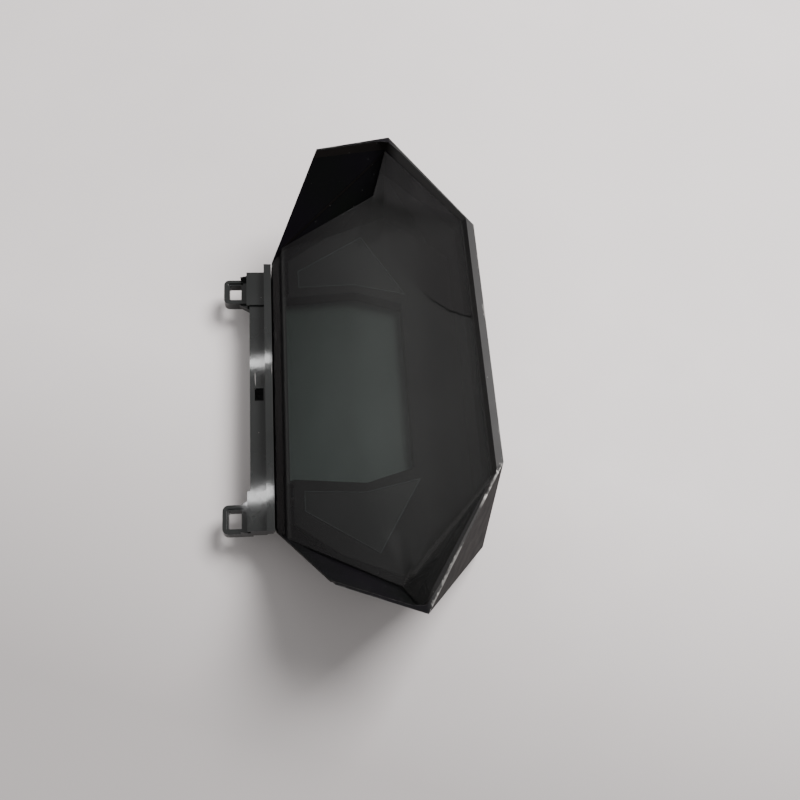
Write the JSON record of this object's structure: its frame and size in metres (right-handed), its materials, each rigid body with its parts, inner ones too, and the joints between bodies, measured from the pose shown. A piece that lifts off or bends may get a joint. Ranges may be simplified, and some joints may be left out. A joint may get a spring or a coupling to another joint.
{
  "type": "motorcycle instrument cluster",
  "caption": "Digital motorcycle instrument cluster with a faceted black case, smoked bowl-shaped lens, display window and a latch rail with square loops.",
  "frame": {"origin": "centre of the rear mounting-insert pattern in the rear resting plane, on the plane of symmetry", "axes": "+X along the long side, +Y towards the latch rail, +Z out of the display"},
  "size_m": [0.2, 0.1042, 0.068],
  "materials": {
    "case_gloss": "piano black gloss",
    "lens_smoke": "smoked clear gloss",
    "mask_black": "fine matte",
    "telltale_smoke": "translucent smoke",
    "white_plastic": "matte white",
    "polarizer": "satin film",
    "lcd_glass": "polished",
    "diffuser": "matte film",
    "light_guide": "clear",
    "reflector": "white film",
    "tin_metal": "tinned",
    "led_package": "clear over phosphor",
    "board_green": "solder mask",
    "zinc_steel": "zinc plated",
    "chip_black": "moulded",
    "ferrite": "ferrite",
    "can_aluminium": "bright can",
    "connector_black": "glass-filled",
    "gold_metal": "gold flash",
    "housing_black": "semi-gloss moulding",
    "seal_rubber": "matte",
    "insert_brass": "turned",
    "membrane": "porous film"
  },
  "bodies": {
    "root": {"front_case": "case_gloss", "lens": "lens_smoke", "dial_mask": "mask_black", "telltale_window_a": "telltale_smoke", "telltale_window_b": "telltale_smoke", "light_box_a": "white_plastic", "light_box_b": "white_plastic", "front_polarizer": "polarizer", "front_glass": "lcd_glass", "rear_glass": "lcd_glass", "rear_polarizer": "polarizer", "diffuser_sheet": "diffuser", "light_guide": "light_guide", "reflector_sheet": "reflector", "lcd_frame": "white_plastic", "lcd_pins": "tin_metal", "backlight_leds": "led_package", "telltale_leds": "led_package", "main_board": "board_green", "pcb_screws": "zinc_steel", "microcontroller": "chip_black", "display_driver": "chip_black", "bus_transceiver": "chip_black", "voltage_regulator": "chip_black", "power_inductor": "ferrite", "crystal_can": "tin_metal", "filter_capacitors": "can_aluminium", "chip_resistors": "chip_black", "connector_socket": "connector_black", "connector_pins": "gold_metal", "rear_housing": "housing_black", "housing_gasket": "seal_rubber", "housing_screws": "zinc_steel", "mount_inserts": "insert_brass", "vent_cap": "housing_black", "vent_membrane": "membrane"}
  },
  "joints": []
}
